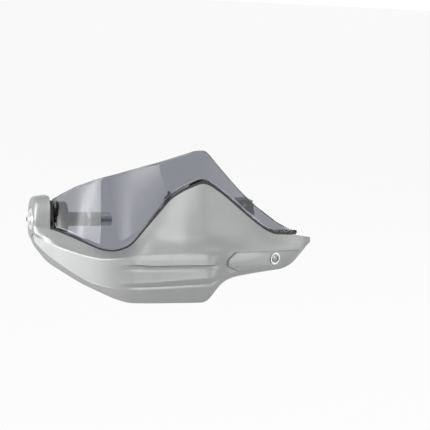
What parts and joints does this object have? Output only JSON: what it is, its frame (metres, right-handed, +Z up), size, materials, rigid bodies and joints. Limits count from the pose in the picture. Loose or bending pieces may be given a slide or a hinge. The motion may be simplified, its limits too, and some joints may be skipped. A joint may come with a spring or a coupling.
{
  "type": "motorcycle hand guard",
  "caption": "Moulded hand guard with a smoked clear wind deflector, a bar-end lug and weight, and an inner arm with a handlebar clamp.",
  "frame": {"origin": "centre of the handlebar's outer end face, where the bar-end spigot starts", "axes": "+X along the handlebar from its outer end towards the middle of the motorcycle, -Y forwards, +Z up"},
  "size_m": [0.3263, 0.1238, 0.1619],
  "materials": {
    "shell": "fine-grained satin",
    "smoked_screen": "polished, smoked",
    "black_rubber": "satin",
    "black_plastic": "gloss",
    "insert_brass": "turned",
    "weight_steel": "satin black",
    "bright_steel": "polished",
    "zinc_steel": "zinc plated",
    "dark_steel": "dark plated",
    "black_metal": "satin black"
  },
  "bodies": {
    "root": {"guard_shell": "shell", "wind_deflector": "smoked_screen", "rim_bead": "black_rubber", "side_seal": "black_rubber", "deflector_inserts": "insert_brass", "deflector_grommets": "black_rubber", "deflector_washers": "zinc_steel", "deflector_screws": "zinc_steel", "deflector_clip": "black_plastic", "bar_end_weight": "weight_steel", "weight_sleeve": "black_rubber", "bar_end_washer": "bright_steel", "bar_end_bolt": "bright_steel", "expander_rings": "black_rubber", "expander_spacer": "zinc_steel", "expander_nut": "zinc_steel", "arm_collar": "zinc_steel", "arm_grommet": "black_rubber", "arm_screw": "dark_steel", "arm_nut": "zinc_steel", "mount_bracket": "black_metal", "clamp_cap": "black_metal", "clamp_screws": "zinc_steel", "clamp_washers": "zinc_steel"}
  },
  "joints": []
}
